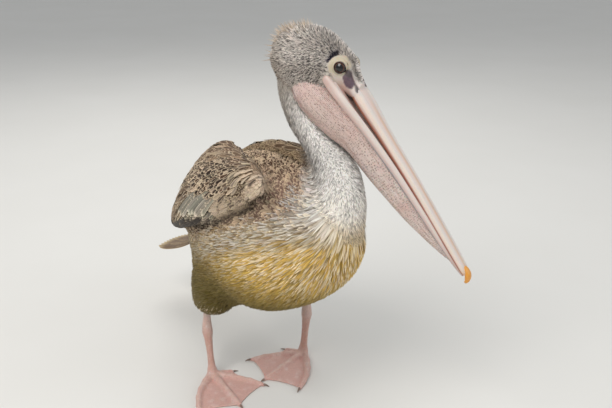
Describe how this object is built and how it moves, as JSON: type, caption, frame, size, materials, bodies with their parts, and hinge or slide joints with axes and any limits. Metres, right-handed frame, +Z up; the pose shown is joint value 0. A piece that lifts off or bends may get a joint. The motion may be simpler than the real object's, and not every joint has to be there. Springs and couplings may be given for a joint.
{
  "type": "pelican",
  "caption": "Young pink-backed pelican standing at rest on webbed feet, its head turned left and its long hooked bill lowered over the chest.",
  "frame": {"origin": "on the floor, below the middle of the whole bird's bounding box", "axes": "+X the way the body faces, +Y the bird's left, +Z up"},
  "size_m": [0.6876, 0.3406, 0.5936],
  "materials": {
    "breast_feathers": "streaked pale and golden body feathers",
    "head_feathers": "short grey-white plush",
    "crest_feathers": "ragged buff plumes",
    "wing_coverts": "brown feathers with pale edges",
    "flight_feathers": "dark brown quills and vanes",
    "eye": "wet black-brown",
    "bill": "satin horn, pinkish white",
    "nail": "yellow-orange horn",
    "pouch": "bare ribbed skin, pink and beige",
    "leg_skin": "scaled bare skin, peach-pink",
    "claw": "horn"
  },
  "bodies": {
    "root": {"trunk": "breast_feathers", "tail": "flight_feathers", "neck_lower": "head_feathers", "neck_upper": "head_feathers", "head": "head_feathers", "crest": "crest_feathers", "eye_right": "eye", "eye_left": "eye", "bill_upper": "bill", "bill_nail": "nail", "bill_lower": "bill", "pouch": "pouch", "wing_right_arm": "wing_coverts", "wing_right_hand": "flight_feathers", "wing_left_arm": "wing_coverts", "wing_left_hand": "flight_feathers", "thigh_right": "breast_feathers", "shank_right": "leg_skin", "foot_right": "leg_skin", "claw_right_outer": "claw", "claw_right_middle": "claw", "claw_right_inner": "claw", "claw_right_hind": "claw", "thigh_left": "breast_feathers", "shank_left": "leg_skin", "foot_left": "leg_skin", "claw_left_outer": "claw", "claw_left_middle": "claw", "claw_left_inner": "claw", "claw_left_hind": "claw"}
  },
  "joints": []
}
